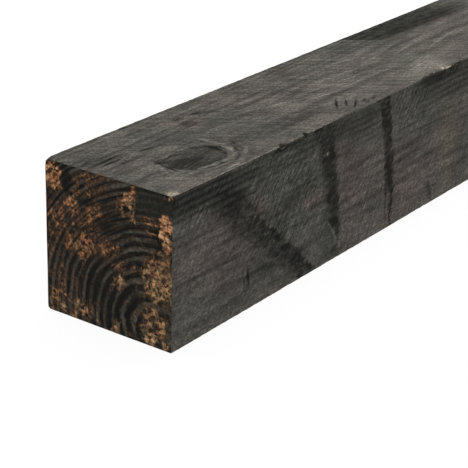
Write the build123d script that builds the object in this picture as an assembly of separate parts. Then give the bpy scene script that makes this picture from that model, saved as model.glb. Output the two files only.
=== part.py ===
from build123d import *
import os

# A rough-sawn square timber post, lying on one of its long faces.
# It runs along X, its front face looks along -Y, and it lies on Z = 0.
# The origin is under the middle of the post, on the floor.

# Driving sizes, in millimetres.
# The trade size is 120 by 120: this one was sawn a little under it across and a little over it in height.
post_length = 2400
section_width = 118
section_height = 121
arris_radius = 0.8

# Flakes torn from the front top arris, from the near end on: place as a share of the post's length,
# then length along the arris and depth as shares of the height, and a lean in degrees.
# A flake that leans takes more off the top face than off the front face.
flake_shares = (
    (0.0556, 0.085, 0.021, 8),
    (0.0686, 0.046, 0.026, -4),
    (0.1478, 0.360, 0.017, 14),
    (0.1693, 0.215, 0.013, 6),
)

# Corners knocked off the near end: side (1 back, -1 front) and level (1 top, -1 bottom),
# then what is lost along, across and up, as shares of the height.
knock_shares = (
    (1, 1, 0.075, 0.025, 0.027),
    (1, -1, 0.060, 0.021, 0.020),
    (-1, 1, 0.045, 0.019, 0.014),
)

near_end = -post_length / 2
half_width = section_width / 2


def sawn_post():
    section = RectangleRounded(section_width, section_height, arris_radius)
    standing_section = Plane.YZ * Pos(0, section_height / 2) * section
    return Pos(near_end, 0, 0) * extrude(standing_section, post_length, dir=(1, 0, 0))


# A flake leaves a shallow hollow across the arris, the shape of the side of a large cylinder.
def flake_cutter(place_share, length_share, depth_share, lean):
    length = length_share * section_height
    depth = depth_share * section_height
    radius = (length**2 / 4 + depth**2) / (2 * depth)
    outward = Vector(0, -1, 1).normalized().rotate(Axis.X, -lean)
    arris = Vector(near_end + place_share * post_length, -half_width, section_height)
    lying_across = Plane(arris + outward * (radius - depth), z_dir=outward.cross(Vector(1, 0, 0)))
    return lying_across * Cylinder(radius, section_width)


# A knocked corner ends in one slanting facet, through a point on each of the corner's three edges.
def knock_plane(side, level, along_share, across_share, up_share):
    corner = Vector(near_end, side * half_width, section_height if level > 0 else 0)
    on_length = corner + Vector(along_share * section_height, 0, 0)
    on_width = corner - Vector(0, side * across_share * section_height, 0)
    on_height = corner - Vector(0, 0, level * up_share * section_height)
    facing = (on_width - on_length).cross(on_height - on_length)
    if facing.dot(corner - on_length) < 0:
        facing = -facing
    return Plane(on_length, z_dir=facing)


post = sawn_post()
for flake in flake_shares:
    post -= flake_cutter(*flake)
for knock in knock_shares:
    post = split(post, bisect_by=knock_plane(*knock), keep=Keep.BOTTOM)

os.makedirs("parts", exist_ok=True)
export_step(post.solid(), "parts/post.step")
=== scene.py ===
import math

import bmesh
import bpy
from mathutils import Matrix, Vector, noise


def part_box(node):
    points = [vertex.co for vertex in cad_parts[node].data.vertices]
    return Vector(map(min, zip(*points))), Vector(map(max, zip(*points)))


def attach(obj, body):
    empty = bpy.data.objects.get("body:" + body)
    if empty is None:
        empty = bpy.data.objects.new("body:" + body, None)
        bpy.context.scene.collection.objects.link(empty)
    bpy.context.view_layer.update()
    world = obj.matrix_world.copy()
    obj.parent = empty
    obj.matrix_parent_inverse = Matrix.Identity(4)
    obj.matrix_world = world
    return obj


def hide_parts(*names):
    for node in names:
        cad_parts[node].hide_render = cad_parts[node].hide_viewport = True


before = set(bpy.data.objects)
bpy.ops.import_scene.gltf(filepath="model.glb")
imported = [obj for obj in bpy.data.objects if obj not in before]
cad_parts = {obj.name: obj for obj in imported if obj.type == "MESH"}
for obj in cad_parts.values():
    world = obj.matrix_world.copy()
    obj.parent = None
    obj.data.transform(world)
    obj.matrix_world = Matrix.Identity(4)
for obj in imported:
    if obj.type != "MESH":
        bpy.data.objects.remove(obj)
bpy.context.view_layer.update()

# Object coordinates are metres: X runs along the post from the near end, -Y is the front face, +Z is up
low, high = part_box("post")
length, width, height = high - low
mm = 0.001


# the blank: a sawn box with strips across each face and columns along it

sawnBlank = {
    "arris": 0.8 * mm,
    "stripShares": (0.016, 0.036, 0.07, 0.125, 0.25, 0.375),   # from both arrises of a face
    "columns": (23, 47),            # cut twice, because one call makes at most a hundred cuts
    "lean": 48 * mm,                # how far a saw mark leans, from the middle of a face to its arris
    "straightEnd": 110 * mm,        # the lean dies out towards the ends
    "nearEndCell": 1.0 * mm,
    "farEndCell": 3.9 * mm,
    "smoothAngle": 35,              # degrees
}


# between 0 and 1
def limited(value):
    return min(1, max(0, value))


# selects the edges or faces that pass a test, and counts them
def pick(post, mode, test):
    bpy.ops.mesh.select_mode(type=mode)
    bpy.ops.mesh.select_all(action="DESELECT")
    shape = bmesh.from_edit_mesh(post.data)
    found = [item for item in (shape.edges if mode == "EDGE" else shape.faces) if test(item)]
    for item in found:
        item.select_set(True)
    shape.select_flush_mode()
    bmesh.update_edit_mesh(post.data)
    return len(found)


def runsAlong(edge):
    step = edge.verts[0].co - edge.verts[1].co
    return abs(step.x) > 3 * mm and abs(step.y) < mm and abs(step.z) < mm


def makeBlank():
    bpy.ops.object.select_all(action="DESELECT")
    bpy.ops.mesh.primitive_cube_add(size=1, location=(low + high) / 2, scale=high - low)
    post = bpy.context.active_object
    post.name = "timberPost"
    bpy.ops.object.transform_apply(location=True, rotation=True, scale=True)
    bpy.ops.object.mode_set(mode="EDIT")
    bpy.ops.mesh.select_all(action="SELECT")
    bpy.ops.mesh.bevel(offset=sawnBlank["arris"], segments=2, affect="EDGES")
    shares = sawnBlank["stripShares"]
    for share in shares + (0.5,) + tuple(1 - s for s in shares):
        for axis in (1, 2):
            place, facing = Vector(low), Vector((0, 0, 0))
            place[axis] += share * (high - low)[axis]
            facing[axis] = 1
            bpy.ops.mesh.select_all(action="SELECT")
            bpy.ops.mesh.bisect(plane_co=place, plane_no=facing)
    for count in sawnBlank["columns"]:
        pick(post, "EDGE", runsAlong)
        bpy.ops.mesh.subdivide(number_cuts=count - 1)
    bpy.ops.object.mode_set(mode="OBJECT")
    return post


# the columns lean so that they lie along the saw marks, one way on the sides and the other on top
def leanColumns(post):
    straight = post.data.attributes.new("alongBlank", "FLOAT", "POINT")
    middle = (low + high) / 2
    for vert, mark in zip(post.data.vertices, straight.data):
        mark.value = vert.co.x - low.x
        across = 2 * (vert.co.y - middle.y) / width
        up = 2 * (vert.co.z - middle.z) / height
        inside = min(vert.co.x - low.x, high.x - vert.co.x) - sawnBlank["arris"]
        ease = limited(inside / sawnBlank["straightEnd"])
        vert.co.x -= across * up * sawnBlank["lean"] * ease


# halves the edges of an end until its cells are small enough for the relief of the rings
def refineEnd(post, side, cell):
    endPlane = low.x if side < 0 else high.x

    def onEnd(edge):
        flat = all(abs(v.co.x - endPlane) < 0.01 * mm for v in edge.verts)
        return flat and edge.calc_length() > cell

    bpy.ops.object.mode_set(mode="EDIT")
    while pick(post, "EDGE", onEnd):
        bpy.ops.mesh.subdivide(number_cuts=1, ngon=False)
    bpy.ops.object.mode_set(mode="OBJECT")


post = makeBlank()
leanColumns(post)
refineEnd(post, -1, sawnBlank["nearEndCell"])
refineEnd(post, 1, sawnBlank["farEndCell"])
print("blank", len(post.data.vertices), "vertices")


# what is missing from the arrises and corners, as in the solid

# flakes torn from the front top arris: place as a share of the length, length and depth as shares
# of the height, and the lean in degrees
flakes = (
    (0.0556, 0.085, 0.021, 8),
    (0.0686, 0.046, 0.026, -4),
    (0.1478, 0.360, 0.017, 14),
    (0.1693, 0.215, 0.013, 6),
)

# corners knocked off the near end: side, level, and what is lost along, across and up, as shares
# of the height
knocks = (
    (1, 1, 0.075, 0.025, 0.027),
    (1, -1, 0.060, 0.021, 0.020),
    (-1, 1, 0.045, 0.019, 0.014),
)

tornWood = {
    "margin": 3 * mm,               # finer faces reach this far past a flake
    "band": 6 * mm,                 # and this far in from the arris
    "cuts": 2,
    "fibre": (9 * mm, 0.9 * mm),    # length and width of the torn fibres
    "fibreDepth": 0.55 * mm,
    "knockRough": 0.3,              # share of that depth on the knocked corners
}


def refineFlakes(post):
    def besideFlake(face):
        middle = face.calc_center_median()
        if middle.y - low.y > tornWood["band"] or high.z - middle.z > tornWood["band"]:
            return False
        along = middle.x - low.x
        return any(abs(along - place * length) < size * height / 2 + tornWood["margin"]
                   for place, size, depth, lean in flakes)

    bpy.ops.object.mode_set(mode="EDIT")
    pick(post, "FACE", besideFlake)
    bpy.ops.mesh.subdivide(number_cuts=tornWood["cuts"], ngon=False)
    bpy.ops.object.mode_set(mode="OBJECT")


def fibreNoise(spot):
    run, thin = tornWood["fibre"]
    return noise.fractal(Vector((spot.x / run, spot.y / thin, spot.z / thin)), 0.8, 2.0, 3)


# presses the points that stand in a flake down to its round floor, roughened along the grain
def tearFlakes(post, torn):
    for place, size, depth, lean in flakes:
        size, depth = size * height, depth * height
        radius = (size ** 2 / 4 + depth ** 2) / (2 * depth)
        outward = Matrix.Rotation(math.radians(-lean), 3, "X") @ Vector((0, -1, 1)).normalized()
        centre = Vector((low.x + place * length, low.y, high.z)) + outward * (radius - depth)
        for vert, mark in zip(post.data.vertices, torn.data):
            offset = vert.co - centre
            if abs(offset.x) < size / 2:
                drop = offset.dot(outward) + math.sqrt(radius ** 2 - offset.x ** 2)
                if drop > 0:
                    rough = tornWood["fibreDepth"] * (0.5 + 0.5 * fibreNoise(vert.co))
                    vert.co -= outward * (drop + min(drop, rough))
                    mark.value = min(1, mark.value + drop / depth * 2)


# presses the knocked corners back to their planes
def knockCorners(post, torn):
    for side, level, along, across, up in knocks:
        corner = Vector((low.x, high.y if side > 0 else low.y, high.z if level > 0 else low.z))
        points = (corner + Vector((along * height, 0, 0)), corner - Vector((0, side * across * height, 0)),
                  corner - Vector((0, 0, level * up * height)))
        facing = (points[1] - points[0]).cross(points[2] - points[0]).normalized()
        if facing.dot(corner - points[0]) < 0:
            facing = -facing
        for vert, mark in zip(post.data.vertices, torn.data):
            drop = facing.dot(vert.co - points[0])
            if drop > 0:
                rough = tornWood["knockRough"] * tornWood["fibreDepth"] * (1 + fibreNoise(vert.co))
                vert.co -= facing * (drop + min(drop, rough))
                mark.value = 1


# knots: ovals that make up each knot on a face, with along, across, two half sizes in mm and the turn

knots = {
    "top": (((73, -26, 28.5, 19.5, -6), (58, -15, 17, 6.5, -22)),),
    "back": (((1310, 66, 26, 17, -8),), ((410, 38, 20, 15, 14),)),
    "underside": (((930, 8, 24, 16, 10),), ((1960, -20, 22, 15, -12),)),
}

# the axis across each face that has knots, and the way it faces
faceWays = {
    "top": (1, Vector((0, 0, 1))),
    "back": (2, Vector((0, 1, 0))),
    "underside": (1, Vector((0, 0, -1))),
}

knotRelief = {
    "margin": 1.35,                 # finer faces reach this far, in knot radii
    "shortest": 3 * mm,             # edges that cross a strip by less are left whole
    "cuts": 5,
    "rim": 0.55 * mm,               # groove round the knot
    "rimAt": 0.98,                  # in knot radii, as is its width
    "rimWidth": 0.13,
    "rough": 0.35 * mm,
    "roughSize": 4 * mm,
}


# distance of a point on a face from the middle of a knot, 1 on its edge
def knotReach(spot, way, parts):
    reach = 9.0
    for along, across, long, wide, turn in parts:
        offset = Vector((spot.x - low.x - along * mm, spot[way] - (low.z if way == 2 else 0) - across * mm))
        offset.rotate(Matrix.Rotation(-math.radians(turn), 2))
        reach = min(reach, math.hypot(offset.x / (long * mm), offset.y / (wide * mm)))
    return reach


def refineKnots(post):
    bpy.ops.object.mode_set(mode="EDIT")
    for face, faceKnots in knots.items():
        way, facing = faceWays[face]

        def crossesKnot(edge):
            start, end = (v.co for v in edge.verts)
            if abs(start[way] - end[way]) < knotRelief["shortest"]:
                return False
            if any(v.normal.dot(facing) < 0.9 for v in edge.verts):
                return False
            points = [start.lerp(end, step / 4) for step in range(5)]
            reaches = (knotReach(p, way, parts) for parts in faceKnots for p in points)
            return min(reaches) < knotRelief["margin"]

        pick(post, "EDGE", crossesKnot)
        bpy.ops.mesh.subdivide(number_cuts=knotRelief["cuts"], ngon=False)
    bpy.ops.object.mode_set(mode="OBJECT")


# the way each vertex faces, read before any is moved
def facings(post):
    return [vert.normal.copy() for vert in post.data.vertices]


# a groove round each knot and a rough face inside it
def sinkKnots(post):
    normals = facings(post)
    for face, faceKnots in knots.items():
        way, facing = faceWays[face]
        for vert, normal in zip(post.data.vertices, normals):
            if normal.dot(facing) > 0.7:
                reach = min(knotReach(vert.co, way, parts) for parts in faceKnots)
                if reach < knotRelief["margin"]:
                    offRim = (reach - knotRelief["rimAt"]) / knotRelief["rimWidth"]
                    groove = knotRelief["rim"] * math.exp(-offRim ** 2)
                    rough = 0.5 + 0.5 * noise.noise(vert.co / knotRelief["roughSize"])
                    inside = limited((1.1 - reach) * 6)
                    vert.co -= facing * (groove + knotRelief["rough"] * rough * inside)


# growth rings about the pith: centre across and up in mm, rings counted outwards per mm and per square mm

timberRings = {
    "pith": (-46.0, 12.0),
    "rates": (0.0752, 0.00053, -0.90),
    "relief": 0.28 * mm,
    "rough": 0.22 * mm,
    "roughSize": 2.2 * mm,
}


# the soft early wood of each ring lies a little deeper on the sawn ends
def raiseRings(post):
    perMm, perSquare, first = timberRings["rates"]
    across, up = timberRings["pith"]
    for vert, normal in zip(post.data.vertices, facings(post)):
        if abs(normal.x) > 0.9:
            radius = math.hypot(vert.co.y / mm - across, vert.co.z / mm - up)
            count = perMm * radius + perSquare * radius ** 2 + first
            soft = 0.5 - 0.5 * math.cos(math.tau * count)
            rough = 0.5 + 0.5 * noise.fractal(vert.co / timberRings["roughSize"], 0.8, 2.0, 3)
            depth = timberRings["relief"] * soft + timberRings["rough"] * limited(rough)
            vert.co.x -= math.copysign(depth, normal.x)


# saw marks, unevenness and worn arrises

sawMarks = {
    "depth": 0.42 * mm,
    "sidePitch": 3,                 # columns to a mark on the front and back
    "topPitch": 7,                  # and on the top and underside
    "patch": (60 * mm, 34 * mm),    # the marks come and go over patches this long and wide
    "strength": (0.12, 0.42, 0.9),  # least, usual, and how far a patch swings it
    "waver": 0.35,                  # in marks, over these lengths and widths
    "waverSize": (30 * mm, 20 * mm),
    "strong": ((135, 72, 62), (322, 103, 36), (60, 108, 50)),   # front: along, up and reach, mm
}

unevenness = {
    "wander": 0.4 * mm,
    "wanderSize": 160 * mm,
    "arrisWear": 0.22 * mm,
    "arrisPitch": 5 * mm,
    "arrisReach": 2 * mm,
}


# rises over two thirds of a mark and falls over the rest
def sawTooth(turns):
    part = turns % 1
    return min(part * 1.5, (1 - part) * 3)


# how deep the saw went at a point, from 0 on a crest to 1 in a groove
def sawGroove(spot, facing, column):
    def grained(long, wide):
        return noise.noise(Vector((spot.x / long, spot.y / wide, spot.z / wide)))

    least, usual, swing = sawMarks["strength"]
    patch = min(1, max(least, usual + swing * grained(*sawMarks["patch"])))
    if facing.y < 0:
        for along, up, reach in sawMarks["strong"]:
            far = math.hypot(spot.x - low.x - along * mm, spot.z - low.z - up * mm) / (reach * mm)
            patch = max(patch, min(1, 1.6 - 1.6 * far))
    waver = sawMarks["waver"] * grained(*sawMarks["waverSize"])
    side = sawTooth(column / sawMarks["sidePitch"] + waver)
    top = 0.5 - 0.5 * math.cos(math.tau * (column / sawMarks["topPitch"] + waver))
    return patch * (side * facing.y ** 2 + top * facing.z ** 2)


def cutSawMarks(post):
    grooves = post.vertex_groups.new(name="sawGrooves")
    # the depth of each groove is kept as well, for the wood to paint shade into the grooves
    post.data.attributes.new("sawGrooveShade", "FLOAT", "POINT")
    straight = post.data.attributes["alongBlank"].data
    step = length / math.prod(sawnBlank["columns"])
    for vert in post.data.vertices:
        deep = sawGroove(vert.co, vert.normal, straight[vert.index].value / step)
        grooves.add([vert.index], deep, "REPLACE")
        post.data.attributes["sawGrooveShade"].data[vert.index].value = deep
    saw = post.modifiers.new("sawMarks", "DISPLACE")
    saw.vertex_group = "sawGrooves"
    saw.strength = -sawMarks["depth"]
    saw.mid_level = 0
    cloud = bpy.data.textures.new("unevenSawing", "CLOUDS")
    cloud.noise_scale = unevenness["wanderSize"]
    wander = post.modifiers.new("unevenSawing", "DISPLACE")
    wander.texture = cloud
    wander.texture_coords = "LOCAL"
    wander.strength = unevenness["wander"]
    wander.mid_level = 1            # inwards only
    for name in ("sawMarks", "unevenSawing"):
        bpy.ops.object.modifier_apply(modifier=name)


def wearArrises(post):
    middle = (low + high) / 2
    reach = unevenness["arrisReach"]
    for vert in post.data.vertices:
        gaps = sorted(((high - low)[i] / 2 - abs(vert.co[i] - middle[i]), i) for i in range(3))
        if gaps[1][0] < reach:
            worn = noise.fractal(vert.co / unevenness["arrisPitch"], 0.9, 2.0, 3)
            worn = unevenness["arrisWear"] * max(0, worn + 0.25) * (1 - gaps[1][0] / reach)
            for gap, axis in gaps[:2]:
                vert.co[axis] -= math.copysign(worn, vert.co[axis] - middle[axis])


refineFlakes(post)
refineKnots(post)
cutSawMarks(post)
sinkKnots(post)
raiseRings(post)
# marks the torn places; the wood paints them dark, partly the dark of the torn wood and partly painted shade
# of their hollows
torn = post.data.attributes.new("torn", "FLOAT", "POINT")
wearArrises(post)
tearFlakes(post, torn)
knockCorners(post, torn)
print("sawn, worn and chipped", len(post.data.vertices), "vertices")

post.data.update()
bpy.ops.object.shade_smooth_by_angle(angle=math.radians(sawnBlank["smoothAngle"]))
print("triangles", sum(len(face.vertices) - 2 for face in post.data.polygons))


# the wood: node helpers, all in millimetres from the near end, the middle of the width and the floor

def hue(red, green, blue):
    parts = [c / 255 for c in (red, green, blue)]
    return tuple(c / 12.92 if c < 0.04045 else ((c + 0.055) / 1.055) ** 2.4 for c in parts) + (1,)


def put(tree, kind, **settings):
    node = tree.nodes.new("ShaderNode" + kind)
    for key, value in settings.items():
        setattr(node, key, value)
    return node


def feed(tree, socket, value):
    if isinstance(value, bpy.types.NodeSocket):
        tree.links.new(value, socket)
    else:
        socket.default_value = value


def wire(tree, node, values):
    for socket, value in zip(node.inputs, values):
        feed(tree, socket, value)
    return node.outputs[0]


def calc(tree, operation, *values, clamp=False):
    return wire(tree, put(tree, "Math", operation=operation, use_clamp=clamp), values)


def scaled(tree, value, times, plus):
    return calc(tree, "MULTIPLY_ADD", value, times, plus)


def span(tree, value, start, end, first=0.0, last=1.0):
    node = put(tree, "MapRange", interpolation_type="SMOOTHSTEP")
    return wire(tree, node, (value, start, end, first, last))


def multiply(tree, *values):
    product = values[0]
    for value in values[1:]:
        product = calc(tree, "MULTIPLY", product, value)
    return product


def tint(tree, share, first, second):
    node = put(tree, "Mix", data_type="RGBA")
    for index, value in ((0, share), (6, first), (7, second)):
        feed(tree, node.inputs[index], value)
    return node.outputs[2]


def brightened(tree, colour, amount):
    node = put(tree, "VectorMath", operation="SCALE")
    feed(tree, node.inputs[0], colour)
    feed(tree, node.inputs["Scale"], amount)
    return node.outputs[0]


# noise with grains of the given size along, across and up, or of one size all ways
def mottle(tree, place, size, detail=3.0, rough=0.55, output="Fac"):
    sizes = size if isinstance(size, tuple) else (size,) * 3
    stretch = put(tree, "Mapping")
    feed(tree, stretch.inputs["Vector"], place)
    stretch.inputs["Scale"].default_value = [1 / s for s in sizes]
    grains = put(tree, "TexNoise")
    feed(tree, grains.inputs["Vector"], stretch.outputs[0])
    grains.inputs["Scale"].default_value = 1.0
    grains.inputs["Detail"].default_value = detail
    grains.inputs["Roughness"].default_value = rough
    return grains.outputs[output]


noiseRange = (0.28, 0.72)           # where nearly all the values of the noise lie


def varied(tree, place, size, least, most, detail=3.0, rough=0.55):
    return span(tree, mottle(tree, place, size, detail, rough), *noiseRange, least, most)


# moves each point a little at random, so that drawn shapes get natural outlines
def wobbled(tree, spot, place, size, reach):
    drift = mottle(tree, place, size, output="Color")
    centred = wire(tree, put(tree, "VectorMath", operation="SUBTRACT"), (drift, (0.5, 0.5, 0.5)))
    shift = wire(tree, put(tree, "VectorMath", operation="MULTIPLY"), (centred, reach))
    return wire(tree, put(tree, "VectorMath", operation="ADD"), (spot, shift))


# a turned oval that falls from 1 in the middle to 0 where it is spread to the given times its size
def oval(tree, spot, centre, halves, turn, spread):
    turned = put(tree, "Mapping", vector_type="TEXTURE")
    feed(tree, turned.inputs["Vector"], spot)
    turned.inputs["Location"].default_value = (*centre, 0)
    turned.inputs["Rotation"].default_value = (0, 0, math.radians(turn))
    turned.inputs["Scale"].default_value = (spread * halves[0], spread * halves[1], 1)
    fall = put(tree, "TexGradient", gradient_type="SPHERICAL")
    feed(tree, fall.inputs["Vector"], turned.outputs[0])
    return fall.outputs["Fac"]


# ovals laid over each other: along, across, two half sizes, turn, softness of the edge, strength
def ovals(tree, spot, rows):
    cover = 0.0
    for along, across, long, wide, turn, soft, strength in rows:
        fall = oval(tree, spot, (along, across), (long, wide), turn, 2)
        inside = span(tree, fall, (1 - soft) / 2, (1 + soft) / 2, 0.0, strength)
        cover = calc(tree, "MAXIMUM", cover, inside)
    return cover


# a patch between straight borders, each with a point, a direction with the patch on its left and a softness
def bordered(tree, spot, strength, borders):
    cover = strength
    for along, across, turn, soft in borders:
        border = put(tree, "Mapping", vector_type="TEXTURE")
        feed(tree, border.inputs["Vector"], spot)
        border.inputs["Location"].default_value = (along, across, 0)
        border.inputs["Rotation"].default_value = (0, 0, math.radians(turn))
        sides = put(tree, "SeparateXYZ")
        feed(tree, sides.inputs[0], border.outputs[0])
        cover = multiply(tree, span(tree, sides.outputs[1], -soft, soft), cover)
    return cover


def postPlace(tree):
    scale = put(tree, "Mapping")
    feed(tree, scale.inputs["Vector"], put(tree, "TexCoord").outputs["Object"])
    scale.inputs["Location"].default_value = (-low.x / mm, 0, -low.z / mm)
    scale.inputs["Scale"].default_value = (1 / mm, 1 / mm, 1 / mm)
    parts = put(tree, "SeparateXYZ")
    feed(tree, parts.inputs[0], scale.outputs[0])
    return (scale.outputs[0], *parts.outputs)


timber = {
    "wander": 11.0,                 # how far a ring strays along the post, mm
    "wanderSize": (330.0, 60.0, 60.0),
    "wanderFrom": (0, 200),         # it strays more and more over this stretch, mm from the near end
    "warm": hue(84, 80, 75),
    "cool": hue(70, 71, 65),
    "ruddy": hue(88, 71, 68),
    "sallow": hue(88, 82, 70),
    # the dark stain, also used for the painted shade beside the flakes and in the notches
    "stained": hue(20, 21, 17),
    "pale": hue(146, 143, 134),
    # torn wood, very dark: partly its own dark, partly painted shade of the hollows of the flakes and
    # knocked corners
    "torn": hue(28, 26, 23),
    "splinter": hue(174, 165, 146),
    "specular": 0.12,
}


def newWood(name):
    wood = bpy.data.materials.new(name)
    wood.use_nodes = True
    shader = wood.node_tree.nodes["Principled BSDF"]
    shader.inputs["Specular IOR Level"].default_value = timber["specular"]
    return wood, wood.node_tree, shader


# colour, relief in mm and roughness to the shader
def finishWood(tree, shader, colour, relief, roughness):
    bump = put(tree, "Bump")
    bump.inputs["Strength"].default_value = 1.0
    bump.inputs["Distance"].default_value = mm
    feed(tree, bump.inputs["Height"], relief)
    feed(tree, shader.inputs["Normal"], bump.outputs[0])
    feed(tree, shader.inputs["Base Color"], colour)
    feed(tree, shader.inputs["Roughness"], roughness)


# place across and up from the pith, and distance from it
def fromPith(tree, across, up):
    aside = calc(tree, "SUBTRACT", across, timberRings["pith"][0])
    above = calc(tree, "SUBTRACT", up, timberRings["pith"][1])
    square = scaled(tree, aside, aside, calc(tree, "MULTIPLY", above, above))
    return aside, above, calc(tree, "SQRT", square)


# growth rings about the pith, counted outwards, strayed along the post but true at the near end
def ringCount(tree, place, along, radius):
    stray = mottle(tree, place, timber["wanderSize"], detail=2.0)
    stray = multiply(tree, calc(tree, "SUBTRACT", stray, 0.5), 2 * timber["wander"],
                     span(tree, along, *timber["wanderFrom"]))
    radius = calc(tree, "ADD", radius, stray)
    perMm, perSquare, first = timberRings["rates"]
    return scaled(tree, scaled(tree, radius, perSquare, perMm), radius, first)


def ringLines(tree, count, sharp, soft):
    return span(tree, calc(tree, "PINGPONG", count, 0.5), sharp, soft, 1.0, 0.0)


# a long stain with drawn edges: rows of height, left edge and right edge in mm, then edge softness,
# and the heights where it starts and stops fading, with what is left
def stripe(tree, along, up, look):
    def edge(column):
        curve = put(tree, "FloatCurve")
        points = curve.mapping.curves[0].points
        rows = [(row[0] / frontLook["tall"], row[column] / frontLook["reach"]) for row in look["rows"]]
        points[0].location, points[1].location = rows[0], rows[-1]
        for row in rows[1:-1]:
            points.new(*row)
        curve.mapping.update()
        feed(tree, curve.inputs["Value"], calc(tree, "DIVIDE", up, frontLook["tall"]))
        return calc(tree, "MULTIPLY", curve.outputs[0], frontLook["reach"])

    left = calc(tree, "SUBTRACT", along, edge(1))
    right = calc(tree, "SUBTRACT", edge(2), along)
    softLeft, softRight = look["soft"]
    inside = multiply(tree, span(tree, left, -softLeft, softLeft), span(tree, right, -softRight, softRight))
    start, end, least = look["fade"]
    return multiply(tree, inside, span(tree, up, start, end, 1.0, least))


frontLook = {
    "upright": True,
    "tall": 121.0,
    "reach": 400.0,
    "sawTurn": 54,                  # direction of the saw marks, degrees from the length
    "strokes": (18, 2.5, 1),        # length and width of a saw stroke
    # painted shading of the saw strokes, as a share of the light
    "strokeShading": 0.17,
    "fibreDepth": 0.55,
    "cool": (                       # cooler grey areas: ovals as above
        (60, 116, 120, 24, 0, 0.5, 0.9),
        (150, 75, 52, 52, -30, 0.4, 0.95),
        (250, 108, 130, 22, 0, 0.5, 0.75),
        (205, 22, 16, 30, 30, 0.4, 0.9),
        (112, 36, 22, 20, -40, 0.6, 0.8),
        (330, 90, 40, 16, 0, 0.6, 0.6),
    ),
    "ruddy": (
        (104, 81, 9, 6, 20, 0.8, 0.55),
        (179, 63, 14, 7, 0, 0.9, 0.4),
        (214, 90, 9, 9, 0, 0.9, 0.45),
        (240, 70, 24, 30, 0, 0.9, 0.25),
        (320, 32, 30, 24, 0, 0.9, 0.3),
        (60, 60, 50, 22, 0, 0.9, 0.2),
    ),
    "sallow": (
        (395, 49, 9, 36, 9, 0.8, 0.8),
    ),
    "hairy": (                      # where the saw left a nap of loose fibres
        (138, 74, 55, 46, 0, 0.6, 1.0),
        (322, 104, 40, 18, 0, 0.6, 1.0),
        (50, 106, 60, 18, 0, 0.6, 1.0),
        (245, 40, 40, 30, 0, 0.8, 0.5),
    ),
    "stripes": (
        {
            "rows": ((0, 158, 187), (7, 150, 179), (23, 131, 163), (33, 118, 152), (45, 105, 139),
                     (59, 87, 121), (71, 73, 107), (84, 60, 98), (95, 52, 84), (108, 50, 58), (121, 70, 40)),
            "soft": (13, 3),
            "fade": (0, 1, 0.68),
        },
        {
            "rows": ((0, 161, 187), (5, 158, 182), (17, 150, 168.5), (28, 143, 158), (41, 129, 141),
                     (54, 119, 129), (63, 103, 114), (71, 98, 107), (78, 96, 102), (86, 98, 95),
                     (121, 110, 88)),
            "soft": (5, 2.2),
            "fade": (58, 82, 0.75),
        },
        {
            "rows": ((0, 228, 216), (15, 218, 219), (25, 211, 219), (35, 204, 217), (49, 199, 216),
                     (71, 195, 212), (93, 187, 208), (108, 180, 205), (121, 170, 199)),
            "soft": (6, 4),
            "fade": (100, 121, 0.8),
        },
        {
            "rows": ((0, 299, 301), (20, 297, 302), (34, 296, 302), (44, 290, 301), (52, 287, 300),
                     (64, 285, 298), (79, 282, 295), (95, 278, 293), (108, 275, 290), (121, 267, 287)),
            "soft": (2.4, 2),
            "fade": (0, 1, 1.0),
        },
        {
            "rows": ((0, 292, 292), (17, 290, 292), (39, 288, 292), (60, 285, 290), (66, 285, 288),
                     (80, 287, 286), (121, 292, 282)),
            "soft": (1.5, 1.5),
            "fade": (0, 1, 0.85),
        },
    ),
    "patches": (),
    "stainsAndShade": (
        (30, 114, 62, 11, -3, 0.7, 0.8),
        (66, 98, 28, 14, -28, 0.8, 0.85),
        (80, 95, 9, 6, -30, 0.7, 0.95),
        (92.5, 27, 1.9, 9, 8, 0.8, 1.2),
        (88, 22, 1.3, 4.5, 8, 0.8, 0.8),
        (109, 60, 8, 4.5, -40, 0.8, 0.85),
        (124, 37, 8, 5.5, -40, 0.8, 0.75),
        (304, 70, 9, 0.8, 0, 0.6, 0.6),
        (290.5, 68, 4.5, 42, 11, 0.8, 1.0),
        (366, 12, 3, 11, 20, 0.6, 0.75),
        (143, 118, 24, 4, 0, 0.5, 0.75),
        # these two are painted shade in the two small notches in the arris
        (130, 119, 5, 3, 0, 0.5, 1.0),
        (164.6, 118, 2.4, 4, 0, 0.5, 1.0),
        (196, 115, 36, 10, 0, 0.8, 0.85),
        # these three darken the front under the long flake and the next: partly dark stain, partly painted
        # shade of the torn hollows
        (380, 118, 46, 7, 0, 0.5, 1.0),
        (345, 114, 34, 6, 0, 0.8, 0.4),
        (420, 108, 40, 16, 0, 0.8, 0.6),
        (250, 112, 60, 10, 0, 0.8, 0.4),
        (118, 26, 26, 9, -38, 0.9, 0.4),
        (211.5, 9.5, 4.5, 2.6, 10, 0.7, 0.85),
        (208.5, 21, 1.2, 6, 20, 0.7, 0.5),
    ),
    "bruises": (
        (196.4, 96.2, 1.5, 1.3, 0, 0.4, 2.0),
        (99.3, 73.9, 1.4, 0.9, 0, 0.4, 0.5),
    ),
    "paleScoresAndHighlights": (                     # pale scratches
        (209, 26, 13, 1.2, -53, 0.8, 0.36),
        (196, 35.5, 8, 1.0, 42, 0.7, 0.3),
        (220.5, 9, 1.0, 8, 8, 0.7, 0.4),
    ),
    "knots": (),
}

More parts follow.
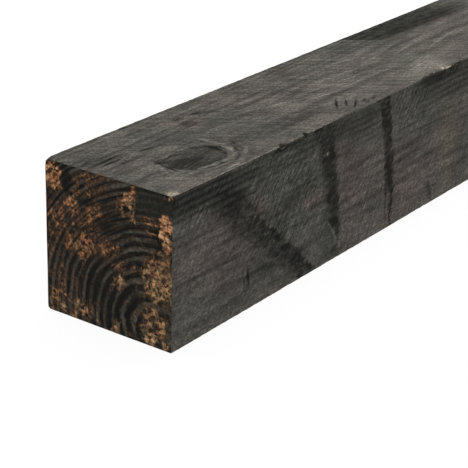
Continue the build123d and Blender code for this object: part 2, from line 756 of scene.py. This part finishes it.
topLook = {
    "upright": False,
    "sawTurn": 129,
    "strokes": (42, 4.2, 1),
    # painted shading of the saw strokes, as a share of the light
    "strokeShading": 0.22,
    "fibreDepth": 0.4,
    "cool": (
        (130, 15, 50, 26, 0, 0.7, 0.6),
        (460, 42, 90, 24, 0, 0.5, 0.9),
        (160, -30, 20, 22, 0, 0.9, 0.6),
        (60, 8, 14, 9, 0, 0.9, 0.5),
    ),
    "ruddy": (
        (496, 28, 30, 4, -5, 0.8, 0.7),
        (126, 26, 14, 12, 0, 0.9, 0.3),
    ),
    "sallow": (),
    "hairy": (
        (240, 0, 160, 60, 0, 0.7, 0.35),
    ),
    "stripes": (),
    "patches": (
        (0.8, ((393, 58, -50.4, 2.5), (417, 28, -2.2, 4.0), (560, 40, 90, 32))),
    ),
    "stainsAndShade": (
        (497, 27.5, 27, 2.2, -5, 0.6, 0.85),
        (23.5, 21, 16.5, 1.4, 1, 0.6, 1.35),
        (24.7, 15.4, 8.5, 1.3, -2, 0.6, 1.25),
        (12, 29, 8, 1.1, 14, 0.7, 0.6),
        (61.5, 13.7, 8.5, 1.3, -11, 0.6, 1.2),
        (28, 8.5, 4, 1.2, 0, 0.7, 0.5),
        (85, 57, 4, 2.4, 0, 0.5, 0.9),
        (126, 25, 8, 5, 0, 0.8, 0.72),
        (127, 37, 6, 3, 0, 0.8, 0.68),
        (150, 33, 12, 3, -30, 0.8, 0.65),
        (285, 32, 15, 3, -20, 0.7, 0.5),
        (239, -37.5, 10, 1.1, 36, 0.6, 1.15),
        (247.5, -41.3, 8, 1.0, 36, 0.6, 1.1),
        (250.5, -48.2, 10, 1.1, 30, 0.6, 1.15),
        (262.3, -49.2, 2.8, 1.6, 0, 0.5, 0.9),
        (261.5, -53.6, 2.8, 1.3, 20, 0.5, 0.8),
        (272, -52, 5, 1.6, 20, 0.6, 0.6),
        (47.5, -12, 6.5, 2.6, -24, 0.3, 1.25),
        (57, -20, 12, 7.5, -28, 0.7, 0.72),
        (89, -12.5, 10, 3.2, -28, 0.5, 1.0),
        (95.5, -21, 3.4, 8, 5, 0.5, 1.05),
        (93.5, -31, 3.0, 7, -15, 0.5, 0.95),
        (104, -36.5, 7.5, 1.7, 54, 0.6, 0.75),
        (92.4, -46.4, 8.5, 1.7, 28, 0.6, 0.7),
        (112, -30, 8, 1.6, 60, 0.6, 0.5),
        (42.8, -20, 1.4, 11, -10, 0.5, 1.5),
        (41, -39, 1.5, 5, 0, 0.6, 0.5),
        (46, -45.5, 6, 1.5, -12, 0.6, 0.6),
        (66, -50, 12, 1.3, -8, 0.6, 0.5),
        # these two darken the top's front edge at the flakes: partly dark stain, partly painted shade of the
        # torn hollows
        (360, -59, 32, 2.2, 0, 0.5, 0.95),
        (404, -59, 22, 2.6, 0, 0.5, 0.95),
    ),
    "bruises": (
        (382.5, -56.6, 6.0, 3.0, -12, 0.5, 1.6),
        (384, -52, 5, 5, 0, 0.8, 0.5),
        (329.5, -55, 3, 1.3, 0, 0.5, 0.7),
        (4, -55.5, 5.5, 4.2, 30, 0.6, 1.6),
        (147, -57, 3, 1.2, 0, 0.5, 0.5),
    ),
    "paleScoresAndHighlights": (                     # pale scratches, pale lips round the knot, and a painted highlight along the front arris
        (62, -40.5, 6.5, 1.6, -13, 0.6, 0.5),
        (72, -42, 6, 1.8, 0, 0.6, 0.55),
        (84, -43, 6, 1.9, 0, 0.6, 0.5),
        (95, -38.5, 7.5, 2.4, 37, 0.6, 0.5),
        (104, -26, 9, 2.4, 75, 0.6, 0.42),
        (104.5, -11, 9, 2.2, 97, 0.6, 0.34),
        (102.5, -45.6, 9, 1.9, 31, 0.6, 0.5),
        (87, -52.5, 9.5, 1.9, 17, 0.6, 0.45),
        (73, -55, 6, 1.3, 0, 0.5, 0.5),
        (35.5, -23.4, 6.5, 1.7, 62, 0.5, 0.55),
        (24, -30, 20, 20, 0, 0.9, 0.16),
        (71, 0, 13, 5, -30, 0.8, 0.2),
        # a painted highlight along the front arris of the top
        (90, -58.6, 75, 0.9, 0, 0.6, 0.5),
        (208, -2, 42, 1.1, -16, 0.8, 0.36),
        (262, -19, 38, 1.2, -9, 0.8, 0.4),
        (216, -29, 26, 1.0, -6, 0.8, 0.32),
        (330, -20, 46, 1.1, -2, 0.8, 0.32),
        (300, -8, 50, 1.0, -5, 0.8, 0.28),
        (339, 21, 14, 1.2, -10, 0.7, 0.5),
        (377, 8, 40, 1.3, 10, 0.8, 0.34),
        (415, 1.3, 25, 1.4, 7, 0.8, 0.34),
        (452, -11, 31, 1.5, 8, 0.8, 0.34),
        (367, -36, 22, 1.2, -1, 0.8, 0.32),
        (368, -36, 34, 15, 12, 0.8, 0.25),
        (290, 4, 60, 1.0, -4, 0.8, 0.26),
    ),
    "knots": knots["top"],
}

plainLook = {                       # shared by the faces that no one sees first
    "strokes": (24, 3.2, 1),
    # painted shading of the saw strokes, as a share of the light
    "strokeShading": 0.18,
    "fibreDepth": 0.5,
    "cool": (),
    "ruddy": (),
    "sallow": (),
    "hairy": (),
    "stripes": (),
    "patches": (),
    "stainsAndShade": (),
    "bruises": (),
    "paleScoresAndHighlights": (),
}

backLook = {
    **plainLook,
    "upright": True,
    "sawTurn": 130,
    "knots": knots["back"],
}

undersideLook = {
    **plainLook,
    "upright": False,
    "sawTurn": 51,
    "knots": knots["underside"],
}


knotLook = {
    "spread": 2.2,                  # the bent grain round a knot ends within this many radii
    "edge": (0.93, 1.03),
    "rim": (0.98, 0.07),            # place and width of the dark rim, in radii
    "paleRim": (1.12, 0.1),
    "pale": 0.22,
    "bent": (1.02, 1.2, 2.1),       # where the bent grain starts, is clearest and ends, in radii
    "bentDark": 0.6,
    "waves": 24.0,
    "crown": (-0.3, 0.8),           # it lies past one side, in half lengths from the middle
    "insideGrain": ((9, 1.6, 1.6), 0.4, 0.95),
    "rimBreak": ((13, 8, 8), 0.35, 1.25),
    "bentBreak": ((20, 12, 12), 0.1, 1.0),
    "paleBreak": ((12, 7, 7), -0.2, 1.0),
}


# a sawn knot: dark and mottled inside, with a dark rim that comes and goes, and bent grain past one side
def knotShade(tree, spot, place, parts):
    spread = knotLook["spread"]
    fall = 0.0
    for along, across, long, wide, turn in parts:
        part = oval(tree, spot, (along, across), (long, wide), turn, spread)
        fall = calc(tree, "MAXIMUM", fall, part)
    reach = scaled(tree, fall, -spread, spread)

    def band(at, thick, strength):
        off = calc(tree, "ABSOLUTE", calc(tree, "SUBTRACT", reach, at))
        return span(tree, off, 0.0, thick, strength, 0.0)

    middle, half = parts[0][0], parts[0][2]
    pieces = put(tree, "SeparateXYZ")
    feed(tree, pieces.inputs[0], spot)
    crown = span(tree, pieces.outputs[0], *(middle + share * half for share in knotLook["crown"]))
    inside = multiply(tree, span(tree, reach, *knotLook["edge"], 1.0, 0.0),
                      varied(tree, place, *knotLook["insideGrain"]), scaled(tree, crown, -0.3, 1.0))
    rim = multiply(tree, band(*knotLook["rim"], 1.0), varied(tree, place, *knotLook["rimBreak"]))
    start, full, end = knotLook["bent"]
    waves = calc(tree, "SINE", calc(tree, "MULTIPLY", reach, knotLook["waves"]))
    bent = multiply(tree, scaled(tree, waves, 0.5, 0.5),
                    span(tree, reach, full, end, knotLook["bentDark"], 0.0),
                    span(tree, reach, start, full), scaled(tree, crown, 0.75, 0.25),
                    varied(tree, place, *knotLook["bentBreak"]))
    paleRim = multiply(tree, band(*knotLook["paleRim"], knotLook["pale"]),
                       varied(tree, place, *knotLook["paleBreak"]))
    return calc(tree, "MAXIMUM", calc(tree, "MAXIMUM", inside, rim), bent), paleRim


# the sawn faces: sizes along, across and up in mm, then how far it strays, or its least and most
sawnGrain = {
    "bend": ((46, 16, 16), (0, 8, 8)),
    "ripple": ((9, 4, 4), (0, 1.6, 1.6)),
    "sawWaver": ((26, 17, 17), (7, 7, 0)),
    "outline": ((11, 6, 6), (7, 4, 0)),
    "fray": ((3, 1.2, 1.2), (3, 1.4, 0)),
    "fineOutline": ((5, 2.5, 2.5), (3.2, 1.8, 0)),
    "fibre": (18, 1.7, 1.7),
    "streak": (60, 5.5, 5.5),
    "hair": (7, 1.2, 1),
    "nick": (8, 1.4, 1),
    "fuzz": (2.5, 1.8, 1.8),
    "fleck": (2.6, 1.0, 1.0),
    # mixes the dark torn wood and painted shade of the torn hollows with pale splinters
    "shadedRag": ((14, 0.9, 0.9), -1.5, 0.45),
    "coolPatch": ((70, 26, 26), -0.35, 0.55),
    "lightPatch": ((50, 20, 20), 0.76, 1.24),
    "ringBreak": (90, 15, 15),
    "stripeBreak": ((8, 4, 4), 0.5, 1.3),
    "stainBreak": ((11, 6, 6), 0.76, 1.2),
    "scoreBreak": ((10, 3, 3), 0.3, 1.0),
    "bruiseBreak": ((3, 1.4, 1.4), -0.2, 1.1),
    "serration": 2.0,               # how far a saw stroke shifts the edge of a stripe
    "ringEdge": (0.05, 0.36),       # in rings
    "ringFade": (90, 240),          # growth lines fade from the small stains and painted shade over this stretch
}

# how much each of these lightens or darkens the wood
sawnLight = {
    "streak": 0.09,
    "ring": 0.54,
    # painted shading of the saw strokes, stronger where the fibres are loose
    "hairyStrokeShading": 0.26,
    "hair": 0.2,
    "hairyHair": 0.2,
    "nick": -0.65,
    "nap": 0.1,
    "fuzz": 0.9,
    # painted shade in the saw grooves
    "groove": -0.55,
    "fleck": 0.6,
}

sawnBump = {"fibre": 0.15, "stroke": 0.14, "hair": 0.09, "fuzz": 0.2}     # mm


def sawnFace(name, look):
    wood, tree, shader = newWood(name)
    place, along, across, up = postPlace(tree)
    faceSpot = wire(tree, put(tree, "CombineXYZ"), (along, up if look["upright"] else across, 0.0))

    # wandering grain, saw strokes and fuzz
    grain = wobbled(tree, place, place, *sawnGrain["bend"])
    grain = wobbled(tree, grain, place, *sawnGrain["ripple"])
    fibres = varied(tree, grain, sawnGrain["fibre"], 0.0, 1.0, detail=4.0, rough=0.65)
    streaks = varied(tree, grain, sawnGrain["streak"], -1.0, 1.0)
    sawWay = put(tree, "Mapping", vector_type="TEXTURE")
    feed(tree, sawWay.inputs["Vector"], wobbled(tree, faceSpot, place, *sawnGrain["sawWaver"]))
    sawWay.inputs["Rotation"].default_value = (0, 0, math.radians(look["sawTurn"]))
    sawSpot = sawWay.outputs[0]
    strokes = varied(tree, sawSpot, look["strokes"], -1.0, 1.0)
    hairs = varied(tree, sawSpot, sawnGrain["hair"], -1.0, 1.0, rough=0.6)
    nicks = span(tree, mottle(tree, sawSpot, sawnGrain["nick"], detail=2.0), 0.46, 0.36)
    fuzz = varied(tree, place, sawnGrain["fuzz"], 0.0, 1.0, rough=0.65)
    radius = fromPith(tree, across, up)[-1]
    rings = ringLines(tree, ringCount(tree, place, along, radius), *sawnGrain["ringEdge"])

    # grey, warmer, cooler, redder or yellower in patches
    drawn = wobbled(tree, faceSpot, place, *sawnGrain["outline"])
    drawn = wobbled(tree, drawn, place, *sawnGrain["fray"])
    cool = ovals(tree, drawn, look["cool"])
    cool = calc(tree, "ADD", cool, varied(tree, place, *sawnGrain["coolPatch"]), clamp=True)
    colour = tint(tree, cool, timber["warm"], timber["cool"])
    for shade in ("ruddy", "sallow"):
        colour = tint(tree, ovals(tree, drawn, look[shade]), colour, timber[shade])

    # stripes, with edges broken by the saw strokes and lighter where the growth lines cross them
    drawnParts = put(tree, "SeparateXYZ")
    feed(tree, drawnParts.inputs[0], drawn)
    serrated = scaled(tree, strokes, sawnGrain["serration"], drawnParts.outputs[0])
    stainAndShade = 0.0
    for row in look["stripes"]:
        stainAndShade = calc(tree, "MAXIMUM", stainAndShade, stripe(tree, serrated, drawnParts.outputs[1], row))
    crossed = multiply(tree, scaled(tree, rings, -0.4, 1.18), varied(tree, place, *sawnGrain["stripeBreak"]))
    stainAndShade = calc(tree, "MINIMUM", multiply(tree, stainAndShade, crossed), 1.0)
    for strength, borders in look["patches"]:
        stainAndShade = calc(tree, "MAXIMUM", stainAndShade, bordered(tree, drawn, strength, borders))

    # small marks and knots; some of the marks are painted shade beside the flakes and in the notches
    fine = wobbled(tree, faceSpot, place, *sawnGrain["fineOutline"])
    lines = multiply(tree, rings, span(tree, along, *sawnGrain["ringFade"], 1.0, 0.3))
    marks = multiply(tree, ovals(tree, fine, look["stainsAndShade"]), scaled(tree, lines, 0.4, 0.84),
                     scaled(tree, strokes, 0.4, 1.0))
    stainAndShade = calc(tree, "MAXIMUM", stainAndShade, marks)
    stainAndShade = multiply(tree, stainAndShade, varied(tree, place, *sawnGrain["stainBreak"]))
    pale = multiply(tree, ovals(tree, fine, look["paleScoresAndHighlights"]), varied(tree, place, *sawnGrain["scoreBreak"]))
    for parts in look["knots"]:
        dark, light = knotShade(tree, fine, place, parts)
        stainAndShade = calc(tree, "MAXIMUM", stainAndShade, dark)
        pale = calc(tree, "MAXIMUM", pale, light)
    colour = tint(tree, calc(tree, "MINIMUM", stainAndShade, 1.0), colour, timber["stained"])
    colour = tint(tree, pale, colour, timber["pale"])

    # light and dark of the grain, the saw and the loose fibres; the saw strokes and grooves are painted
    # shading of the saw's relief
    hairy = ovals(tree, faceSpot, look["hairy"])
    groove = put(tree, "Attribute", attribute_name="sawGrooveShade").outputs["Fac"]
    ringDepth = varied(tree, place, sawnGrain["ringBreak"], 0.0, sawnLight["ring"])
    flecks = mottle(tree, grain, sawnGrain["fleck"], detail=2.0)
    flecks = span(tree, flecks, 0.60, 0.69, 1.0, sawnLight["fleck"])
    light = multiply(
        tree,
        varied(tree, place, *sawnGrain["lightPatch"], detail=4.0),
        scaled(tree, streaks, sawnLight["streak"], 1.0),
        scaled(tree, multiply(tree, rings, ringDepth), -1.0, 1.12),
        scaled(tree, fibres, look["fibreDepth"], 1 - look["fibreDepth"] / 2),
        # painted shading of the saw strokes
        scaled(tree, strokes, scaled(tree, hairy, sawnLight["hairyStrokeShading"], look["strokeShading"]), 1.0),
        scaled(tree, hairs, scaled(tree, hairy, sawnLight["hairyHair"], sawnLight["hair"]), 1.0),
        scaled(tree, multiply(tree, nicks, hairy), sawnLight["nick"], 1.0),
        scaled(tree, hairy, sawnLight["nap"], 1.0),
        scaled(tree, fuzz, sawnLight["fuzz"], 1 - sawnLight["fuzz"] / 2),
        # painted shade in the saw grooves
        scaled(tree, groove, sawnLight["groove"], 1.18),
        flecks,
    )
    colour = brightened(tree, colour, light)

    # bruises and torn fibres; the torn places are painted dark, partly the dark of the torn wood and partly
    # painted shade of their hollows, with pale splinters
    bruise = ovals(tree, fine, look["bruises"])
    bruise = multiply(tree, bruise, varied(tree, place, *sawnGrain["bruiseBreak"]))
    colour = tint(tree, calc(tree, "MINIMUM", bruise, 1.0), colour, timber["splinter"])
    tornShadeMask = put(tree, "Attribute", attribute_name="torn").outputs["Fac"]
    shadedRag = tint(tree, varied(tree, place, *sawnGrain["shadedRag"]), timber["torn"], timber["splinter"])
    colour = tint(tree, multiply(tree, tornShadeMask, 0.9), colour, shadedRag)

    relief = calc(tree, "MULTIPLY", fuzz, sawnBump["fuzz"])
    for part, depth in ((hairs, "hair"), (strokes, "stroke"), (fibres, "fibre")):
        relief = scaled(tree, part, sawnBump[depth], relief)
    finishWood(tree, shader, colour, relief, scaled(tree, fuzz, 0.15, 0.74))
    return wood


endColours = {
    "stained": hue(18, 18, 16),
    "ringLight": hue(104, 100, 90),
    "brown": hue(86, 66, 46),
    "redBrown": hue(80, 57, 45),
    "haze": hue(70, 56, 45),
    "washed": hue(44, 44, 38),
    "dullGold": hue(88, 75, 60),
    "bare": hue(178, 122, 82),
    "bareLight": hue(232, 186, 142),
    "gold": hue(168, 136, 97),
    "crackDark": hue(20, 18, 15),
}

# where the stain missed an end: across from the left, up, two half sizes, all as shares of the section,
# then turn, softness and strength
nearEnd = {
    "patches": (                    # bare wood
        (0.060, 0.905, 0.080, 0.105, 0, 0.4, 0.98),
        (0.215, 0.750, 0.070, 0.075, 0, 0.6, 0.80),
        (0.395, 0.745, 0.100, 0.070, -20, 0.6, 0.75),
        (0.350, 0.640, 0.160, 0.090, 15, 0.6, 0.62),
        (0.290, 0.505, 0.150, 0.085, 18, 0.5, 0.82),
        (0.500, 0.555, 0.110, 0.060, 20, 0.6, 0.68),
        (0.678, 0.890, 0.050, 0.095, -8, 0.4, 0.95),
        (0.615, 0.860, 0.055, 0.040, 35, 0.4, 0.85),
        (0.940, 0.785, 0.070, 0.085, 0, 0.25, 1.35),
        (0.942, 0.680, 0.065, 0.065, 0, 0.4, 0.90),
        (0.823, 0.800, 0.065, 0.032, 10, 0.5, 0.72),
        (0.830, 0.719, 0.055, 0.025, 15, 0.5, 0.74),
        (0.584, 0.459, 0.070, 0.050, 20, 0.6, 0.68),
        (0.602, 0.352, 0.050, 0.060, 0, 0.5, 0.85),
        (0.890, 0.430, 0.150, 0.190, 10, 0.6, 0.92),
        (0.875, 0.130, 0.125, 0.150, 0, 0.6, 0.86),
        (0.915, 0.137, 0.050, 0.042, 0, 0.5, 1.2),
        (0.844, 0.047, 0.045, 0.042, 0, 0.5, 1.2),
        (0.950, 0.030, 0.045, 0.030, 0, 0.5, 1.0),
        (0.982, 0.988, 0.018, 0.013, 0, 0.4, 1.2),
        (0.095, 0.080, 0.140, 0.095, 10, 0.6, 0.74),
        (0.280, 0.070, 0.130, 0.080, 10, 0.6, 0.68),
        (0.563, 0.054, 0.045, 0.055, 0, 0.5, 0.68),
        (0.043, 0.418, 0.060, 0.070, 0, 0.6, 0.52),
        (0.085, 0.600, 0.110, 0.150, 0, 0.6, 0.60),
        (0.330, 0.896, 0.200, 0.105, 30, 0.6, 0.58),
        (0.655, 0.800, 0.080, 0.050, -20, 0.5, 0.66),
        (0.100, 0.250, 0.120, 0.130, 0, 0.7, 0.45),
        (0.760, 0.620, 0.180, 0.070, 0, 0.8, 0.15),
    ),
    "darks": (                      # holes and wholly stained places
        (0.648, 0.828, 0.028, 0.018, 0, 0.3, 1.0),
        (0.180, 0.900, 0.042, 0.090, -6, 0.4, 0.9),
        (0.310, 0.800, 0.060, 0.030, 30, 0.6, 0.7),
        (0.470, 0.680, 0.060, 0.050, 0, 0.7, 0.6),
        (0.885, 0.700, 0.011, 0.130, 0, 0.4, 0.9),
        (0.330, 0.615, 0.150, 0.008, 2, 0.5, 0.8),
        (0.700, 0.300, 0.060, 0.040, 30, 0.7, 0.6),
        (0.985, 0.740, 0.010, 0.012, 0, 0.4, 0.9),
        (0.906, 0.033, 0.030, 0.022, 0, 0.5, 0.7),
        (0.970, 0.122, 0.022, 0.036, 0, 0.6, 0.4),
        (0.969, 0.201, 0.030, 0.016, 0, 0.6, 0.25),
        (0.876, 0.270, 0.050, 0.018, 0, 0.6, 0.3),
        (0.847, 0.101, 0.026, 0.022, 0, 0.5, 0.6),
    ),
    "haze": (                       # thin stain, brown
        (0.33, 0.74, 0.32, 0.26, 0, 0.8, 0.95),
        (0.78, 0.70, 0.22, 0.12, 0, 0.8, 0.35),
        (0.10, 0.45, 0.14, 0.40, 0, 0.8, 0.6),
        (0.91, 0.30, 0.16, 0.32, 0, 0.8, 0.6),
        (0.20, 0.10, 0.26, 0.15, 0, 0.8, 0.6),
        (0.55, 0.45, 0.15, 0.16, 0, 0.8, 0.5),
    ),
    "washed": (                     # thick stain, even and grey
        (0.86, 0.91, 0.18, 0.10, 0, 0.7, 0.85),
    ),
    "blurred": (                    # where the rings hardly show
        (0.44, 0.72, 0.20, 0.13, 10, 0.8, 0.75),
        (0.22, 0.62, 0.20, 0.20, 0, 0.8, 0.5),
    ),
    "golden": (                     # where the bare wood is yellower
        (0.90, 0.22, 0.38, 0.42, 0, 0.5, 0.8),
        (0.68, 0.84, 0.08, 0.10, 0, 0.6, 0.6),
        (0.98, 0.98, 0.04, 0.03, 0, 0.5, 1.0),
        (0.17, 0.06, 0.20, 0.09, 0, 0.6, 0.7),
        (0.05, 0.42, 0.08, 0.10, 0, 0.6, 0.6),
    ),
}

farEnd = {
    "patches": (
        (0.20, 0.76, 0.22, 0.16, 20, 0.6, 0.80),
        (0.60, 0.30, 0.26, 0.18, -15, 0.6, 0.72),
        (0.86, 0.86, 0.12, 0.11, 0, 0.5, 1.00),
        (0.38, 0.10, 0.20, 0.10, 0, 0.6, 0.75),
        (0.08, 0.32, 0.12, 0.20, 0, 0.6, 0.70),
        (0.52, 0.92, 0.18, 0.08, -10, 0.6, 0.68),
        (0.92, 0.40, 0.10, 0.16, 0, 0.6, 0.66),
    ),
    "darks": (
        (0.50, 0.60, 0.16, 0.08, 20, 0.7, 0.7),
        (0.78, 0.14, 0.12, 0.08, 0, 0.7, 0.6),
        (0.30, 0.48, 0.03, 0.05, 0, 0.5, 0.8),
    ),
    "haze": (
        (0.45, 0.55, 0.55, 0.50, 20, 0.8, 0.6),
    ),
    "washed": (
        (0.75, 0.60, 0.20, 0.14, 0, 0.7, 0.7),
    ),
    "blurred": (
        (0.30, 0.70, 0.28, 0.16, 0, 0.8, 0.7),
        (0.70, 0.25, 0.22, 0.14, 0, 0.8, 0.6),
    ),
    "golden": (
        (0.15, 0.30, 0.30, 0.40, 0, 0.5, 0.6),
    ),
}


# the ends: sizes in mm, one all ways or along and across the rings, then how far it strays, or
# its least and most
endWood = {
    "outline": (11, (0.10, 0.10, 0)),
    "fray": (3.5, (0.05, 0.05, 0)),
    "ringStray": ((30, 0.20), (4, 0.05)),       # in rings
    "ringWave": ((120, 10, 1), 0.14),
    "ringArc": 70.0,                # a radian about the pith counts as this along the rings
    "ringEdge": (0.06, 0.34),
    "ringPatch": (22, 0.3, 1.0),
    "ringBreak": ((60, 8, 1), 0.35, 1.15),
    "ringRough": (5, 0.6, 1.25),
    "streak": (16, 1.8, 1),
    "hazeStreak": ((18, 1.8, 1), -0.5, 1.2),
    "grain": 7,
    "crumb": 3.1,
    "speck": 2.2,
    "blot": 6.5,
    "shade": 9,
    "crackPatch": (14, 0.35, 1.1),
    "blotchy": 0.4,                 # least share of blots, against streaks along the rings
    "crumbShare": 0.4,
    "ragged": (0.08, 0.6, 1.0),     # shares of rings, grains and blots beside the crumbs
    "lift": 0.4,
    "brownFrom": (1.09, 1.34),      # how far the wood is lifted where it turns brown, bare and light
    "bareFrom": (1.26, 1.54),
    "lightFrom": (1.43, 1.73),
    "crackFrom": (1.12, 1.32),
}


def endGrain(name, look, leftSide):
    wood, tree, shader = newWood(name)
    place, along, across, up = postPlace(tree)
    left = scaled(tree, across, -leftSide * mm / width, 0.5)
    endSpot = wire(tree, put(tree, "CombineXYZ"), (left, calc(tree, "DIVIDE", up, height / mm), 0.0))
    drawn = wobbled(tree, endSpot, place, *endWood["outline"])
    drawn = wobbled(tree, drawn, place, *endWood["fray"])

    # rings, and a place counted along and across them
    aside, above, radius = fromPith(tree, across, up)
    arc = calc(tree, "MULTIPLY", calc(tree, "ARCTAN2", aside, above), endWood["ringArc"])
    ringSpot = wire(tree, put(tree, "CombineXYZ"), (arc, radius, 0.0))
    count = ringCount(tree, place, along, radius)
    for size, stray in endWood["ringStray"]:
        count = calc(tree, "ADD", count, varied(tree, place, size, -stray, stray))
    size, stray = endWood["ringWave"]
    count = calc(tree, "ADD", count, varied(tree, ringSpot, size, -stray, stray))
    rings = ringLines(tree, count, *endWood["ringEdge"])
    streaks = mottle(tree, ringSpot, endWood["streak"], rough=0.6)
    grains = mottle(tree, place, endWood["grain"], detail=4.0, rough=0.6)
    crumbs = mottle(tree, place, endWood["crumb"], rough=0.65)
    speck = varied(tree, place, endWood["speck"], 0.0, 1.0, rough=0.65)

    # stained wood, thinner and browner in streaks along the rings
    dimmed = ovals(tree, drawn, look["darks"])
    undimmed = calc(tree, "SUBTRACT", 1.0, dimmed, clamp=True)
    clear = calc(tree, "SUBTRACT", 1.0, ovals(tree, drawn, look["blurred"]))
    ringStrength = multiply(tree, varied(tree, place, *endWood["ringPatch"]),
                            varied(tree, ringSpot, *endWood["ringBreak"]),
                            varied(tree, place, *endWood["ringRough"]), undimmed, clear)
    colour = tint(tree, multiply(tree, rings, ringStrength), endColours["stained"], endColours["ringLight"])
    haze = multiply(tree, ovals(tree, drawn, look["haze"]),
                    varied(tree, ringSpot, *endWood["hazeStreak"]), undimmed)
    colour = tint(tree, haze, colour, endColours["haze"])
    colour = tint(tree, ovals(tree, drawn, look["washed"]), colour, endColours["washed"])

    # brown, then barer and barer wood, as the patches lift the ragged grains
    yellower = ovals(tree, drawn, look["golden"])
    blots = mottle(tree, place, endWood["blot"], rough=0.5)
    blotchy = calc(tree, "MAXIMUM", yellower, endWood["blotchy"])
    flaky = scaled(tree, blotchy, calc(tree, "SUBTRACT", blots, streaks), streaks)
    ragged = multiply(tree, crumbs, endWood["crumbShare"])
    for part, share in zip((rings, grains, flaky), endWood["ragged"]):
        ragged = scaled(tree, part, share, ragged)
    lift = calc(tree, "SUBTRACT", ovals(tree, drawn, look["patches"]), dimmed)
    lifted = scaled(tree, lift, endWood["lift"], ragged)
    brown = tint(tree, varied(tree, place, endWood["shade"], 0.0, 1.0), endColours["brown"],
                 endColours["redBrown"])
    golden = calc(tree, "ADD", varied(tree, place, endWood["shade"], -0.6, 0.7), yellower, clamp=True)
    wash = tint(tree, golden, endColours["bare"], endColours["gold"])
    brown = tint(tree, multiply(tree, golden, 0.6), brown, endColours["dullGold"])
    colour = tint(tree, span(tree, lifted, *endWood["brownFrom"], 0.0, 0.92), colour, brown)
    colour = tint(tree, span(tree, lifted, *endWood["bareFrom"]), colour, wash)
    lightest = multiply(tree, speck, span(tree, lifted, *endWood["lightFrom"]))
    colour = tint(tree, lightest, colour, endColours["bareLight"])

    # dark cracks between the grains of the bare wood
    cracked = multiply(tree, span(tree, crumbs, 0.51, 0.41),
                       span(tree, lifted, *endWood["crackFrom"], 0.2, 0.95),
                       varied(tree, place, *endWood["crackPatch"]))
    colour = tint(tree, cracked, colour, endColours["crackDark"])
    colour = brightened(tree, colour, scaled(tree, speck, 0.9, 0.55))
    relief = scaled(tree, speck, 0.25, multiply(tree, rings, 0.15))
    finishWood(tree, shader, colour, relief, scaled(tree, speck, 0.15, 0.75))
    return wood


endDepth = 3 * mm                   # end grain reaches no farther in than this


def finishFaces(post):
    finishes = (
        (Vector((0, -1, 0)), sawnFace("frontFace", frontLook)),
        (Vector((0, 0, 1)), sawnFace("topFace", topLook)),
        (Vector((0, 1, 0)), sawnFace("backFace", backLook)),
        (Vector((0, 0, -1)), sawnFace("underside", undersideLook)),
        (Vector((-1, 0, 0)), endGrain("nearEndGrain", nearEnd, 1)),
        (Vector((1, 0, 0)), endGrain("farEndGrain", farEnd, -1)),
    )
    for facing, wood in finishes:
        post.data.materials.append(wood)
    for face in post.data.polygons:
        inside = min(face.center.x - low.x, high.x - face.center.x)
        choices = range(len(finishes) if inside < endDepth else len(finishes) - 2)
        face.material_index = max(choices, key=lambda i: face.normal.dot(finishes[i][0]))


finishFaces(post)
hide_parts("post")
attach(post, "root")
print("wood finished")


# the studio: a pale floor that glows, an even sky and one softbox overhead

studio = {
    "floorSide": 40.0,
    "floorGlow": 0.94,
    "floorColour": 0.09,
    "skyLight": 0.22,
    "softboxSize": (3.4, 1.6),
    "softboxAt": (0.0, 0.25, 1.7),
    "softboxPower": 48.0,
}


def makeFloor():
    bpy.ops.object.select_all(action="DESELECT")
    bpy.ops.mesh.primitive_plane_add(size=studio["floorSide"], location=(0, 0, low.z))
    floor = bpy.context.active_object
    floor.name = "studioFloor"
    paper = bpy.data.materials.new("paleFloor")
    paper.use_nodes = True
    shader = paper.node_tree.nodes["Principled BSDF"]
    shader.inputs["Base Color"].default_value = (studio["floorColour"],) * 3 + (1,)
    shader.inputs["Roughness"].default_value = 1.0
    shader.inputs["Specular IOR Level"].default_value = 0.0
    shader.inputs["Emission Color"].default_value = (1, 1, 1, 1)
    shader.inputs["Emission Strength"].default_value = studio["floorGlow"]
    floor.data.materials.append(paper)


def makeLights():
    world = bpy.data.worlds.new("studioSky")
    world.use_nodes = True
    sky = world.node_tree.nodes["Background"]
    sky.inputs["Color"].default_value = (1, 1, 1, 1)
    sky.inputs["Strength"].default_value = studio["skyLight"]
    bpy.context.scene.world = world
    bpy.ops.object.light_add(type="AREA", location=studio["softboxAt"])
    softbox = bpy.context.active_object
    softbox.name = "softbox"
    softbox.data.shape = "RECTANGLE"
    softbox.data.size, softbox.data.size_y = studio["softboxSize"]
    softbox.data.energy = studio["softboxPower"]


photoView = {
    "azimuth": -54.469,
    "elevation": 23.430,
    "roll": 1.581,
    "focalPixels": 1605.97,
    "imagePixels": 468,
    "sensorWidth": 36,
    # right, up and back from the near front bottom corner, in widths
    "standOff": (0.37871, 0.72697, 9.68596),
}


def makeCamera():
    turn, tip, roll = (math.radians(photoView[k]) for k in ("azimuth", "elevation", "roll"))
    back = Vector((math.sin(turn) * math.cos(tip), -math.cos(turn) * math.cos(tip), math.sin(tip)))
    level = Vector((math.cos(turn), math.sin(turn), 0))
    upright = back.cross(level)
    right = level * math.cos(roll) + upright * math.sin(roll)
    up = upright * math.cos(roll) - level * math.sin(roll)
    aside, above, away = (share * width for share in photoView["standOff"])
    bpy.ops.object.camera_add(location=low + right * aside + up * above + back * away)
    camera = bpy.context.active_object
    camera.rotation_euler = Matrix((right, up, back)).transposed().to_euler()
    camera.data.sensor_width = photoView["sensorWidth"]
    camera.data.lens = photoView["focalPixels"] / photoView["imagePixels"] * camera.data.sensor_width
    bpy.context.scene.camera = camera


makeFloor()
makeLights()
makeCamera()
bpy.context.scene.view_settings.view_transform = "Standard"
print("studio ready")
